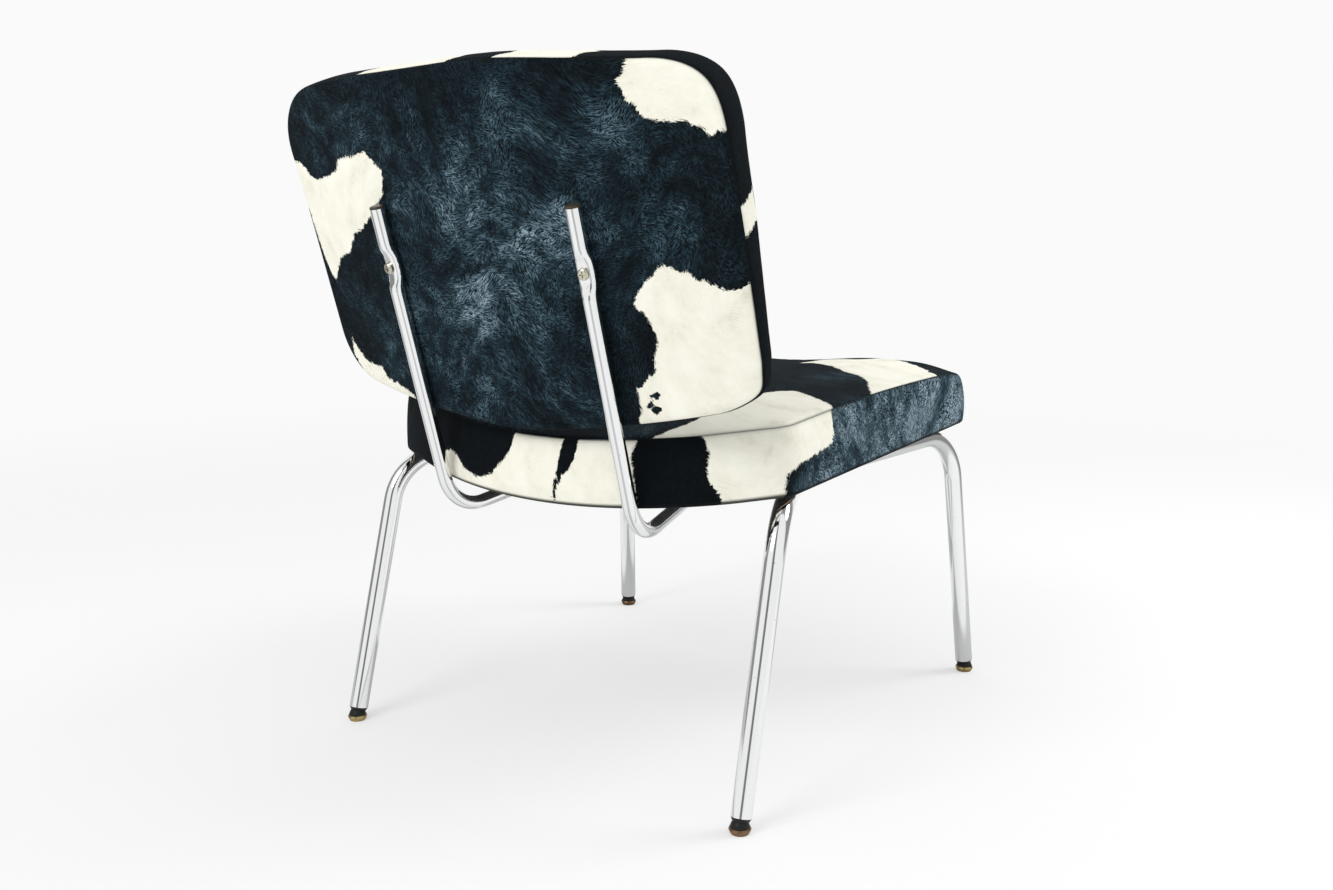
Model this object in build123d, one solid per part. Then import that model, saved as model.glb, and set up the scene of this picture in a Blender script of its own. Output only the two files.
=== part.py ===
# Low armless lounge chair: bent chrome tube frame, padded seat, curved padded back, swivel glides.
# The origin is on the floor under the middle of the chair. The chair faces -Y, its left side as
# sat in is +X, and +Z is up. Lengths are millimetres and angles are degrees.
from build123d import *
import os
from math import asin, cos, pi, radians, sin, sqrt, tan

# Stance; distances along the chair are measured back from the line between the rear glides
WHEELBASE = 579.2
REAR_TRACK = 540.0
FRONT_TRACK = 555.2
REAR_RAKE = 14.9
REAR_SPLAY = 0.8
FRONT_RAKE = 5.65
FRONT_SPLAY = 3.4

# Side frames, one bent tube each
LEG_OD = 22.0
LEG_WALL = 1.5
LEG_BEND_R = 65.0
REAR_BEND_Z = 310.0
RAIL_SLOPE = 2.17
WAIST_X = 202.5
WAIST_Y = -240.4
WAIST_BEND_R = 150.0

# Back supports, one bent tube each, pressed flat at the rear where the screw goes through
BACK_OD = 16.0
BACK_WALL = 1.5
BACK_X = 127.5
BACK_SCREW_Y = 56.1
BACK_SCREW_Z = 549.8
RECLINE = 16.5
BACK_STUB = 64.0
BACK_DROP = 291.0
BACK_BEND_R = 50.0
RUN_RISE = 9.0
RUN_TOE_IN = 9.1
RUN_END_BACK = 3.0
PRESS_DEPTH = 5.2
PRESS_FLAT = 16.0
PRESS_LENGTH = 50.0
PRESS_STEPS = 4
PLUG_LENGTH = 12.0
PLUG_CAP = 2.5
PLUG_CAP_ROUND = 2.0

# Cross members and seat tabs
CROSS_OD = 16.0
CROSS_WALL = 1.5
ROD_D = 12.0
TAB_T = 4.0
TAB_WIDTH = 30.0
TAB_CORNER_R = 12.0
TAB_HOLE_IN = 18.0
TAB_OVERLAP = 6.0
TAB_REAR_Y = -150.0
TAB_FRONT_Y = -470.0

# Seat cushion; its cover hangs a little lower at the rear, between the legs
SEAT_HALF = 270.0
SEAT_REAR_Y = -7.0
SEAT_REAR_R = 450.0
SEAT_FRONT_Y = -580.0
SEAT_FRONT_BOW = 6.0
SEAT_FRONT_CORNER_R = 26.0
SEAT_REAR_CORNER_R = 30.0
SEAT_CROWN_T = 82.0
SEAT_CROWN_Y = -270.0
SEAT_CROWN_R = 6000.0
SEAT_TAPER = 4.5
SEAT_ROLL_R = 9.0
SEAT_SEAM_DROP = 10.0
SEAT_BOARD_T = 12.0
DUST_T = 1.0
SKIRT_DROP = 16.0
SKIRT_HALF = 235.0

# Back cushion, outline measured across and up the back from the screw line
BACK_HALF = 281.0
BACK_TOP = 201.0
BACK_TOP_BOW = 21.0
BACK_TOP_CORNER_R = 75.0
BACK_LOW = -171.5
BACK_LOW_BOW = 27.0
BACK_LOW_CORNER_R = 60.0
BACK_R = 787.0
BACK_TOP_T = 42.0
BACK_LOW_T = 24.0
BACK_CROWN = 10.0
BACK_ROLL_R = 9.0
BACK_SEAM_BEHIND = 12.0
BACK_BOARD_T = 8.0
FORM_REACH = 1.2
COVER_T = 2.5

# Screws and tee nuts
SCREW_D = 6.0
SCREW_HEAD_D = 12.0
SCREW_HEAD_H = 4.0
SCREW_HEAD_ROUND = 2.4
DRIVE_WIDTH = 1.4
DRIVE_LENGTH = 6.5
DRIVE_DEPTH = 2.0
NUT_BARREL_D = 7.8
NUT_BARREL_L = 8.0
NUT_FLANGE_D = 18.0
NUT_FLANGE_T = 1.3

# Swivel glides
BALL_Z = 6.0
BALL_R = 3.5
STUD_NECK_R = 2.0
STUD_LENGTH = 26.0
TUBE_STANDOFF = 9.8
INSERT_LENGTH = 24.0
COLLAR_LOW_R = 8.75
DOME_R = 10.0
DOME_LOW = 2.5
DOME_MOUTH = 36.0
SOCKET_MOUTH = 57.5
BASE_FOOT_R = 9.5
BASE_R = 11.5
BASE_WIDE_Z = 4.5
BASE_RIM_Z = 6.6
BASE_RIM_R = 10.6
BASE_FLOOR = 1.8

# Fits
SEAT_GAP = 0.2
BACK_GAP = 0.3
LAYER_GAP = 0.4
SHANK_CLEARANCE = 0.1
HOLE_CLEARANCE = 0.3
PLUG_CLEARANCE = 0.1
BALL_CLEARANCE = 0.06
DOME_CLEARANCE = 0.06
COLLAR_CLEARANCE = 0.4
STUD_CLEARANCE = 0.05
ROD_CLEARANCE = 0.1

# The back's lateral curve: its axis stands in front of the back, and the tubes sit just behind it
TUBE_R = BACK_R + BACK_GAP + BACK_OD / 2
TUBE_ANGLE = asin(BACK_X / TUBE_R)
AXIS_AHEAD = TUBE_R * cos(TUBE_ANGLE)

# The middle of the chair's length lies over the origin
FRONT_REACH = -WHEELBASE - BASE_R
REAR_REACH = (BACK_SCREW_Y + (BACK_R - AXIS_AHEAD) * cos(radians(RECLINE))
              + BACK_TOP * sin(radians(RECLINE)))
REAR_LINE = -(FRONT_REACH + REAR_REACH) / 2


def slope(angle):
    return tan(radians(angle))


def meet(point, direction, plane):
    """Where a line from a point along a direction crosses a plane."""
    reach = (plane.origin - point).dot(plane.z_dir) / direction.dot(plane.z_dir)
    return point + direction * reach


def tube(points, radii, outer_d):
    """A solid bar along straight runs joined by tangent bends."""
    path = FilletPolyline(*points, radius=radii) if radii else Line(*points)
    start = Plane(origin=path @ 0, z_dir=path % 0)
    return sweep(start * Circle(outer_d / 2), path=path)


def both_sides(shape):
    return {"left": shape, "right": mirror(shape, about=Plane.YZ)}


def turned(edges):
    return revolve(Plane.XZ * make_face(edges), Axis.Z)


# Leg axes on the left side: the ball centre of each glide and the way the leg runs up from it
rear_ball = Vector(REAR_TRACK / 2, REAR_LINE, BALL_Z)
rear_up = Vector(-slope(REAR_SPLAY), -slope(REAR_RAKE), 1).normalized()
front_ball = Vector(FRONT_TRACK / 2, REAR_LINE - WHEELBASE, BALL_Z)
front_up = Vector(-slope(FRONT_SPLAY), slope(FRONT_RAKE), 1).normalized()

# The rails lie in one sloping plane, and the seat rests on a plane tangent to their tops
rear_corner = rear_ball + rear_up * ((REAR_BEND_Z - BALL_Z) / rear_up.Z)
rail_normal = (0, sin(radians(RAIL_SLOPE)), cos(radians(RAIL_SLOPE)))
rail_plane = Plane(origin=rear_corner, x_dir=(1, 0, 0), z_dir=rail_normal)
front_corner = meet(front_ball, front_up, rail_plane)
waist = meet(Vector(WAIST_X, REAR_LINE + WAIST_Y, 0), Vector(0, 0, 1), rail_plane)
seat_origin = meet(Vector(0, REAR_LINE, 0), Vector(0, 0, 1), rail_plane)
seat_plane = Plane(seat_origin, x_dir=(1, 0, 0), z_dir=rail_normal).offset(LEG_OD / 2 + SEAT_GAP)

# The back's own frame: x across, y to the rear, z up the back, origin on the axis of its curve
back_up = Vector(0, sin(radians(RECLINE)), cos(radians(RECLINE)))
back_rear = Vector(0, cos(radians(RECLINE)), -sin(radians(RECLINE)))
screw_mid = Vector(0, REAR_LINE + BACK_SCREW_Y, BACK_SCREW_Z)
back_plane = Plane(screw_mid - back_rear * AXIS_AHEAD, x_dir=(1, 0, 0), z_dir=back_up)

parts = {}

# Side frames
side_points = [rear_ball + rear_up * TUBE_STANDOFF, rear_corner, waist, front_corner,
               front_ball + front_up * TUBE_STANDOFF]
side_radii = [LEG_BEND_R, WAIST_BEND_R, LEG_BEND_R]
side_bar = tube(side_points, side_radii, LEG_OD)
side_bore = tube(side_points, side_radii, LEG_OD - 2 * LEG_WALL)
for side, shape in both_sides(side_bar - side_bore).items():
    parts[f"{side}_side_frame"] = shape

# Back supports: an upright, a bend, and a run that rises forward under the seat
upright_at = Vector(BACK_X, AXIS_AHEAD, 0)
stub_top = upright_at + Vector(0, 0, BACK_STUB)
press_top = upright_at + Vector(0, 0, PRESS_LENGTH / 2)
press_low = upright_at - Vector(0, 0, PRESS_LENGTH / 2)
bend_corner = back_plane.from_local_coords(upright_at - Vector(0, 0, BACK_DROP))
run_direction = Vector(-slope(RUN_TOE_IN), -1, slope(RUN_RISE)).normalized()
run_end = meet(bend_corner, run_direction, rail_plane)
run_points = [back_plane.from_local_coords(press_low), bend_corner,
              run_end - run_direction * RUN_END_BACK]
stub_points = [back_plane.from_local_coords(press_top), back_plane.from_local_coords(stub_top)]
press_frame = Plane(upright_at, x_dir=(cos(TUBE_ANGLE), -sin(TUBE_ANGLE), 0), z_dir=(0, 0, 1))


def pressed_point(radius, press, along):
    """A point on the pressed tube's skin, a distance along the skin from the middle of its rear."""
    thick = 2 * radius - press
    flat = pi * press / 4
    quarter = pi * radius / 2
    side = 1 if along >= 0 else -1
    along = abs(along)
    rear = along <= quarter
    from_flat = along if rear else 2 * quarter - along
    turn = max(from_flat - flat, 0) / (thick / 2)
    across = min(from_flat, flat) + thick / 2 * sin(turn)
    high = thick / 2 * cos(turn)
    middle = thick / 2 - radius
    return (side * across, middle + high if rear else middle - high)


def pressed_section(radius, press):
    """One ring of the pressed tube, six arcs or flats, front face kept in line with the tube."""
    half_turn = pi * radius
    flat = pi * PRESS_DEPTH / 4 * radius / (BACK_OD / 2)
    stops = [-flat, flat, half_turn / 2, half_turn - flat, flat - half_turn, -half_turn / 2, -flat]
    middles = [0, (flat + half_turn / 2) / 2, half_turn * 3 / 4 - flat / 2, half_turn,
               flat / 2 - half_turn * 3 / 4, -(flat + half_turn / 2) / 2]
    edges = []
    for start, middle, end in zip(stops, middles, stops[1:]):
        ends = [pressed_point(radius, press, along) for along in (start, middle, end)]
        bulge = abs((ends[0][1] + ends[2][1]) / 2 - ends[1][1])
        straight = abs(middle) in (0, half_turn) and bulge < 0.001
        edges.append(Line(ends[0], ends[2]) if straight else ThreePointArc(*ends))
    return make_face(edges)


def pressed_length(radius):
    """The pressed stretch of the tube, easing in and out of the flat."""
    ease = (PRESS_LENGTH - PRESS_FLAT) / 2
    rings = []
    for end in (-1, 1):
        for step in range(PRESS_STEPS + 1):
            part_way = step / PRESS_STEPS
            press = PRESS_DEPTH * radius / (BACK_OD / 2) * (1 - cos(pi * part_way)) / 2
            rings.append((end * (PRESS_LENGTH / 2 - ease * part_way), press))
    rings.sort()
    return loft([press_frame.offset(z) * pressed_section(radius, press) for z, press in rings])


def back_bar(outer_d):
    pressed = back_plane * pressed_length(outer_d / 2)
    return tube(run_points, [BACK_BEND_R], outer_d) + pressed + tube(stub_points, [], outer_d)


# Fastener frames: z runs out along the screw, away from the cushion
def rivet_line(side):
    angle = TUBE_ANGLE * side
    out = Vector(sin(angle), cos(angle), 0)
    return Plane(out * BACK_R, z_dir=out).location


def rail_across(along):
    """Half the width between the rail axes, at a distance along the seat."""
    stops = [seat_plane.to_local_coords(point) for point in (rear_corner, waist, front_corner)]
    first, last = stops[:2] if along > stops[1].Y else stops[1:]
    return first.X + (last.X - first.X) * (along - first.Y) / (last.Y - first.Y)


def tab_hole(along):
    return rail_across(along) - LEG_OD / 2 - TAB_HOLE_IN


tab_points = [(side * tab_hole(along), along) for along in (TAB_REAR_Y, TAB_FRONT_Y)
              for side in (1, -1)]
hole_d = SCREW_D + 2 * HOLE_CLEARANCE


def screw(length):
    """A pan head screw with a cross drive, its head resting on z = 0 and its shank below."""
    head = Cylinder(SCREW_HEAD_D / 2, SCREW_HEAD_H, align=(Align.CENTER, Align.CENTER, Align.MIN))
    head = fillet(head.edges().sort_by(Axis.Z)[-1], SCREW_HEAD_ROUND)
    drive = Box(DRIVE_WIDTH, DRIVE_LENGTH, DRIVE_DEPTH) + Box(DRIVE_LENGTH, DRIVE_WIDTH, DRIVE_DEPTH)
    head -= Pos(0, 0, SCREW_HEAD_H - DRIVE_DEPTH / 2) * drive
    return head + Cylinder(SCREW_D / 2, length, align=(Align.CENTER, Align.CENTER, Align.MAX))


def tee_nut():
    """A tee nut with its flange face on z = 0 and its barrel up."""
    flange = Cylinder(NUT_FLANGE_D / 2, NUT_FLANGE_T, align=(Align.CENTER, Align.CENTER, Align.MIN))
    barrel = Cylinder(NUT_BARREL_D / 2, NUT_BARREL_L, align=(Align.CENTER, Align.CENTER, Align.MIN))
    bore = Cylinder(SCREW_D / 2 + SHANK_CLEARANCE, 3 * NUT_BARREL_L)
    return flange + barrel - bore


def nut_seat(depth):
    """The hole a tee nut drops into, through a board of the given thickness."""
    flange = Cylinder(NUT_FLANGE_D / 2 + HOLE_CLEARANCE, 2 * NUT_FLANGE_T)
    return flange + Cylinder(NUT_BARREL_D / 2 + SHANK_CLEARANCE, 3 * depth)


# Cross members under the seat
cross_half = rail_across(seat_plane.to_local_coords(run_end).Y)
cross_ends = [Vector(side * cross_half, run_end.Y, run_end.Z) for side in (-1, 1)]
cross_bar = tube(cross_ends, [], CROSS_OD)
rails = side_bar + mirror(side_bar, about=Plane.YZ)
parts["front_cross_tube"] = cross_bar - tube(cross_ends, [], CROSS_OD - 2 * CROSS_WALL) - rails
rod_lift = ((BACK_OD + ROD_D) / 2 + ROD_CLEARANCE) / cos(radians(RUN_RISE))
run_at_waist = meet(bend_corner, run_direction, Plane.XZ.offset(-waist.Y))
rod_z = run_at_waist.Z + rod_lift
rod_ends = [Vector(side * WAIST_X, waist.Y, rod_z) for side in (-1, 1)]
parts["rear_cross_rod"] = tube(rod_ends, [], ROD_D) - rails

back_solid = back_bar(BACK_OD) - back_bar(BACK_OD - 2 * BACK_WALL) - cross_bar
back_solid -= back_plane.location * rivet_line(1) * Cylinder(hole_d / 2, 4 * BACK_OD)
for side, shape in both_sides(back_solid).items():
    parts[f"{side}_back_support"] = shape

plug = Cylinder(BACK_OD / 2 - BACK_WALL - PLUG_CLEARANCE, PLUG_LENGTH,
                align=(Align.CENTER, Align.CENTER, Align.MAX))
cap = Cylinder(BACK_OD / 2, PLUG_CAP, align=(Align.CENTER, Align.CENTER, Align.MIN))
cap = fillet(cap.edges().sort_by(Axis.Z)[-1], PLUG_CAP_ROUND)
for side, shape in both_sides(back_plane * Pos(*stub_top) * (plug + cap)).items():
    parts[f"{side}_top_plug"] = shape

# Seat tabs, welded inside the rails with their tops level with the rail tops
for name, along in (("rear", TAB_REAR_Y), ("front", TAB_FRONT_Y)):
    inner = tab_hole(along) - TAB_WIDTH / 2
    outer = rail_across(along) - TAB_OVERLAP
    plate = Pos((inner + outer) / 2, along) * Rectangle(outer - inner, TAB_WIDTH)
    plate = fillet(plate.vertices().sort_by(Axis.X)[:2], TAB_CORNER_R)
    plate -= Pos(tab_hole(along), along) * Circle(hole_d / 2)
    tab = seat_plane.offset(-SEAT_GAP - TAB_T) * extrude(plate, TAB_T) - rails
    for side, shape in both_sides(tab).items():
        parts[f"{name}_{side}_seat_tab"] = shape


# Seat cushion
def seat_outline(inset):
    half = SEAT_HALF - inset
    front = SEAT_FRONT_Y + inset
    rear = SEAT_REAR_Y - inset
    turn = SEAT_REAR_R - inset
    shoulder = rear - turn + sqrt(turn**2 - half**2)
    outline = make_face([
        ThreePointArc((-half, front), (0, front - SEAT_FRONT_BOW), (half, front)),
        Line((half, front), (half, shoulder)),
        ThreePointArc((half, shoulder), (0, rear), (-half, shoulder)),
        Line((-half, shoulder), (-half, front)),
    ])
    outline = fillet(outline.vertices().sort_by(Axis.Y)[:2], SEAT_FRONT_CORNER_R - inset)
    return fillet(outline.vertices().sort_by(Axis.Y)[-2:], SEAT_REAR_CORNER_R - inset)


def seat_crown(inset):
    """A great ball whose top is the seat's crown; its poles lie off to the front and rear."""
    return Pos(0, SEAT_CROWN_Y, SEAT_CROWN_T - inset - SEAT_CROWN_R) * Rot(X=90) * Sphere(SEAT_CROWN_R)


def seat_form(inset):
    """The seat cushion drawn in by an inset: sides that lean in, a crowned top and a rolled edge."""
    block = extrude(seat_outline(inset), 2 * SEAT_CROWN_T, taper=SEAT_TAPER)
    form = block & seat_crown(inset)
    return fillet(form.faces().sort_by(Axis.Z)[-1].edges(), SEAT_ROLL_R - inset)


def seat_skirt():
    """The strip of cover below the seat at the rear, deepest in the middle."""
    strip = extrude(seat_outline(0) - seat_outline(COVER_T), -SKIRT_DROP)
    sweep_r = (SKIRT_HALF**2 + SKIRT_DROP**2) / (2 * SKIRT_DROP)
    edge = Pos(0, 0, sweep_r - SKIRT_DROP) * Rot(X=90) * Cylinder(sweep_r, 4 * SEAT_HALF)
    return strip & edge & Pos(0, SEAT_HALF + SEAT_CROWN_Y, 0) * Box(*[2 * SEAT_HALF] * 3)


def above(level):
    return Pos(0, 0, level) * Box(4 * SEAT_HALF, 8 * SEAT_HALF, 4 * SEAT_CROWN_T,
                                  align=(Align.CENTER, Align.CENTER, Align.MIN))


seat_cover = seat_form(0) - seat_form(COVER_T)
seam_level = seat_crown(SEAT_SEAM_DROP)
board_top = DUST_T + SEAT_BOARD_T
board_inset = COVER_T + LAYER_GAP + board_top * slope(SEAT_TAPER)
seat_board = Pos(0, 0, DUST_T) * extrude(seat_outline(board_inset), SEAT_BOARD_T)
dust_cover = extrude(seat_outline(board_inset), DUST_T)
seat_screws = []
seat_nuts = []
seat_shank = TAB_T + SEAT_GAP + board_top - NUT_FLANGE_T / 2
for x, y in tab_points:
    nut_at = Pos(x, y, board_top) * Rot(X=180)
    seat_board -= nut_at * nut_seat(SEAT_BOARD_T)
    dust_cover -= Pos(x, y) * Cylinder(hole_d / 2, 4 * DUST_T)
    seat_nuts.append(seat_plane * nut_at * tee_nut())
    seat_screws.append(seat_plane * Pos(x, y, -SEAT_GAP - TAB_T) * Rot(X=180) * screw(seat_shank))
parts["seat_board"] = seat_plane * seat_board
parts["seat_dust_cover"] = seat_plane * dust_cover
parts["seat_foam"] = seat_plane * (seat_form(COVER_T + LAYER_GAP) & above(board_top + LAYER_GAP))
parts["seat_side_band"] = seat_plane * ((seat_cover & seam_level) + seat_skirt())
parts["seat_top_panel"] = seat_plane * (seat_cover - seam_level)
parts["seat_tee_nuts"] = Compound(children=seat_nuts)
parts["seat_screws"] = Compound(children=seat_screws)


# Back cushion
def back_outline(inset):
    half = BACK_HALF - inset
    top = BACK_TOP - inset
    low = BACK_LOW + inset
    outline = make_face([
        ThreePointArc((-half, top - BACK_TOP_BOW), (0, top), (half, top - BACK_TOP_BOW)),
        Line((half, top - BACK_TOP_BOW), (half, low + BACK_LOW_BOW)),
        ThreePointArc((half, low + BACK_LOW_BOW), (0, low), (-half, low + BACK_LOW_BOW)),
        Line((-half, low + BACK_LOW_BOW), (-half, top - BACK_TOP_BOW)),
    ])
    outline = fillet(outline.vertices().sort_by(Axis.Y)[-2:], BACK_TOP_CORNER_R - inset)
    return fillet(outline.vertices().sort_by(Axis.Y)[:2], BACK_LOW_CORNER_R - inset)


def back_block(inset):
    """The outline carried straight through the back from well behind it to well in front."""
    behind = Plane((0, BACK_R + BACK_TOP_T, 0), x_dir=(1, 0, 0), z_dir=(0, -1, 0))
    return extrude(behind * back_outline(inset), BACK_R / 2)


def bent_sheet(outer_r, thickness):
    return Cylinder(outer_r, 4 * BACK_TOP) - Cylinder(outer_r - thickness, 4 * BACK_TOP)


def back_rim(height):
    """How far the front rim stands from the axis at a height: the cushion thins towards its foot."""
    share = (height - BACK_LOW) / (BACK_TOP - BACK_LOW)
    return BACK_R - BACK_LOW_T - (BACK_TOP_T - BACK_LOW_T) * share


def back_form(inset, rear_depth):
    """The back cushion drawn in by an inset: bent across, crowned in front, cut out and its edge rolled."""
    rear = BACK_R - rear_depth
    middle = (BACK_TOP + BACK_LOW) / 2
    reach = FORM_REACH * (BACK_TOP - BACK_LOW) / 2
    low, high = middle - reach, middle + reach
    fall = inset + BACK_CROWN * (FORM_REACH**2 - 1)
    crowned = (back_rim(middle) + inset - BACK_CROWN, middle)
    form = turned([
        Line((rear, low), (rear, high)),
        Line((rear, high), (back_rim(high) + fall, high)),
        ThreePointArc((back_rim(high) + fall, high), crowned, (back_rim(low) + fall, low)),
        Line((back_rim(low) + fall, low), (rear, low)),
    ]) & back_block(inset)
    return fillet(form.faces().filter_by(GeomType.TORUS)[0].edges(), BACK_ROLL_R - inset)


def seam_core():
    """All that lies in front of the seam between the side band and the front panel."""
    low, high = 2 * BACK_LOW, 2 * BACK_TOP
    return turned([Polyline((0, low), (back_rim(low) + BACK_SEAM_BEHIND, low),
                            (back_rim(high) + BACK_SEAM_BEHIND, high), (0, high), (0, low))])


back_cover = back_form(0, 0) - back_form(COVER_T, -COVER_T)
skin_inset = COVER_T + LAYER_GAP
rear_panel = bent_sheet(BACK_R, COVER_T) & back_block(skin_inset)
back_board = bent_sheet(BACK_R - skin_inset, BACK_BOARD_T) & back_block(skin_inset)
nut_depth = skin_inset + BACK_BOARD_T
flat_at = BACK_GAP + BACK_OD - PRESS_DEPTH
back_shank = flat_at + nut_depth - NUT_FLANGE_T
back_screws = []
back_nuts = []
for side in (1, -1):
    line = rivet_line(side)
    nut_at = line * Pos(0, 0, -nut_depth)
    back_nuts.append(back_plane.location * nut_at * tee_nut())
    back_screws.append(back_plane.location * line * Pos(0, 0, flat_at) * screw(back_shank))
    back_board -= nut_at * nut_seat(BACK_BOARD_T)
    rear_panel -= line * Cylinder(hole_d / 2, BACK_OD)
parts["back_board"] = back_plane * back_board
parts["back_rear_panel"] = back_plane * rear_panel
parts["back_foam"] = back_plane * back_form(skin_inset, nut_depth + LAYER_GAP)
parts["back_side_band"] = back_plane * (back_cover - seam_core())
parts["back_front_panel"] = back_plane * (back_cover & seam_core())
parts["back_tee_nuts"] = Compound(children=back_nuts)
parts["back_screws"] = Compound(children=back_screws)


# Swivel glides, drawn about the ball centre
def ring_arc(radius, start_r, end_r, sign):
    """An arc of a circle about the ball centre between two distances from the axis."""
    points = []
    for r in (start_r, (start_r + end_r) / 2, end_r):
        points.append((r, sign * sqrt(radius**2 - r**2)))
    return ThreePointArc(*points)


def glide_insert():
    hollow = DOME_R + COLLAR_CLEARANCE
    bore = STUD_NECK_R + STUD_CLEARANCE
    plug_r = LEG_OD / 2 - LEG_WALL - PLUG_CLEARANCE
    top = TUBE_STANDOFF + INSERT_LENGTH
    under = ring_arc(hollow, bore, COLLAR_LOW_R, 1)
    outline = Polyline(under @ 1, (LEG_OD / 2, TUBE_STANDOFF), (plug_r, TUBE_STANDOFF), (plug_r, top),
                       (bore, top), under @ 0)
    return turned([under, outline])


def glide_stud():
    return Sphere(BALL_R) + Cylinder(STUD_NECK_R, STUD_LENGTH,
                                     align=(Align.CENTER, Align.CENTER, Align.MIN))


def glide_socket():
    seat = BALL_R + BALL_CLEARANCE
    inner = Vector(seat * sin(radians(SOCKET_MOUTH)), seat * cos(radians(SOCKET_MOUTH)))
    outer = Vector(DOME_R * sin(radians(DOME_MOUTH)), DOME_R * cos(radians(DOME_MOUTH)))
    past = outer + (outer - inner)
    mouth = turned([Polyline((0, inner.Y), inner, past, (0, past.Y), (0, inner.Y))])
    low = Pos(0, 0, -DOME_LOW) * Box(3 * DOME_R, 3 * DOME_R, DOME_R,
                                     align=(Align.CENTER, Align.CENTER, Align.MAX))
    return Sphere(DOME_R) - Sphere(seat) - mouth - low


def glide_base():
    cup = DOME_R + DOME_CLEARANCE
    rim = BASE_RIM_Z - BALL_Z
    floor = BASE_FLOOR - BALL_Z
    rim_r = sqrt(cup**2 - rim**2)
    floor_r = sqrt(cup**2 - floor**2)
    below = ring_arc(cup, floor_r, cup, -1)
    return turned([
        Polyline((0, floor), (0, -BALL_Z), (BASE_FOOT_R, -BALL_Z), (BASE_R, BASE_WIDE_Z - BALL_Z),
                 (BASE_RIM_R, rim), (rim_r, rim), below @ 1),
        below,
        Line(below @ 0, (0, floor)),
    ])


for name, ball, up in (("rear", rear_ball, rear_up), ("front", front_ball, front_up)):
    along_leg = Plane(ball, x_dir=(1, 0, 0), z_dir=up)
    upright = Pos(*ball)
    pieces = {
        "glide_insert": along_leg * glide_insert(),
        "ball_stud": along_leg * glide_stud(),
        "glide_socket": upright * glide_socket(),
        "glide_base": upright * glide_base(),
    }
    for piece, shape in pieces.items():
        for side, copy in both_sides(shape).items():
            parts[f"{name}_{side}_{piece}"] = copy

os.makedirs("parts", exist_ok=True)
for node, shape in parts.items():
    export_step(shape, f"parts/{node}.step")
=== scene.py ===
import math

import bpy
import numpy as np
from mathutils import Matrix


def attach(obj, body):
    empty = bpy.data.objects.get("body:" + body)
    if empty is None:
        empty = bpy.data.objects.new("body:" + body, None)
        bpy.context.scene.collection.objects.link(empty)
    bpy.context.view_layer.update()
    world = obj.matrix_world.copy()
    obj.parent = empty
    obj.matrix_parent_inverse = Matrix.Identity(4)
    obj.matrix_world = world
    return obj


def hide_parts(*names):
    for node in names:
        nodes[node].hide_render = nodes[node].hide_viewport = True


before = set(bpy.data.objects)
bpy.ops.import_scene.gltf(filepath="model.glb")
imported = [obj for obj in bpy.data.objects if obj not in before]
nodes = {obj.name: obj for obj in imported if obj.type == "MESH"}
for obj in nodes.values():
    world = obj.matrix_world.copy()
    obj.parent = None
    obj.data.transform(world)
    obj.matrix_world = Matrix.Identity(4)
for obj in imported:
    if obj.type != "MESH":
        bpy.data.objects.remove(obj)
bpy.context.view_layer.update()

# Sizes in millimetres, as in the solids; the scene itself is in metres.
MM = 0.001

# Mesh steps along a panel's edge, round a corner and along a bowed edge
GRID = 84
CORNER_STEPS = 24
BOW_STEPS = 80

# Seat cushion, set a little low where the cloth step fills it out
SEAT_ORIGIN = (0, 238.23, 318.13)
SEAT_SLOPE = math.radians(2.17)
SEAT_HALF = 270
SEAT_REAR = -7
SEAT_REAR_R = 450
SEAT_REAR_CORNER_R = 30
SEAT_FRONT = -586
SEAT_FRONT_BOW = 6
SEAT_FRONT_CORNER_R = 26
SEAT_CROWN = 82
SEAT_CROWN_Y = -270
SEAT_CROWN_R = 6000
SEAT_LEAN = math.tan(math.radians(4.5))
SEAT_BOARD_TOP = 13.4
SEAT_EDGE_LIFT = 3
SEAT_BULGE = 3
SEAT_FILLED = 3.0
SEAT_SWELL = 5
SEAT_LUMP = 0.8
SEAT_TUCK = 0.22
SEAT_PUCKER = 0.6
PUCKER_DEPTH = 13
PUCKER_REACH = 9
SEAT_UNDER_INSET = 5
SEAT_OVER_INSET = 20
SKIRT_DROP = 17
SKIRT_MID = -30
SKIRT_HALF = 235
REAR_SAG = 17
FRONT_HOLLOW = 11
FRONT_DROP = 8
FRONT_OUTER_DROP = 4
FRONT_CORNER_DROP = 6

# Lining under the seat
SHEET_INSET = 6
SHEET_HEIGHT = 0.55
SHEET_RIPPLE = 0.2

# Back cushion
BACK_MID = (0, 293.904, 549.8)
BACK_LEAN = math.radians(16.5)
BACK_AXIS = 785.0
BACK_HALF = 281
BACK_TOP = 201
BACK_TOP_BOW = 21
BACK_TOP_CORNER_R = 75
BACK_LOW = -171.5
BACK_LOW_BOW = 27
BACK_LOW_CORNER_R = 60
BACK_R = 787
BACK_TOP_T = 42
BACK_LOW_T = 24
BACK_CROWN = 7
BACK_FULLNESS = 0.6
BACK_SWELL = 4
BACK_LUMP = 0.6
BACK_REAR_LUMP = 0.35
BACK_PUCKER = 0.4
REAR_SEAM = 7
FRONT_SEAM = 9
SEAM_REACH = 4
BACK_UNDER_INSET = 14
BACK_OVER_INSET = 16
COVER_T = 2.5

# How the back in the photo leaves an even, mirrored curve
BACK_FLAT_FROM = 140
BACK_FLATTER = 8
LEFT_REACH = 6
LEFT_REACH_TILT = 0.02
LEFT_TOP_REACH = 6
LEFT_DROOP = 8
TOP_RISE = 4
FOOT_HANG = 5
FOOT_LIFT = 1
RIGHT_PEAK = 3
RIGHT_HEEL = 7

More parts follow.
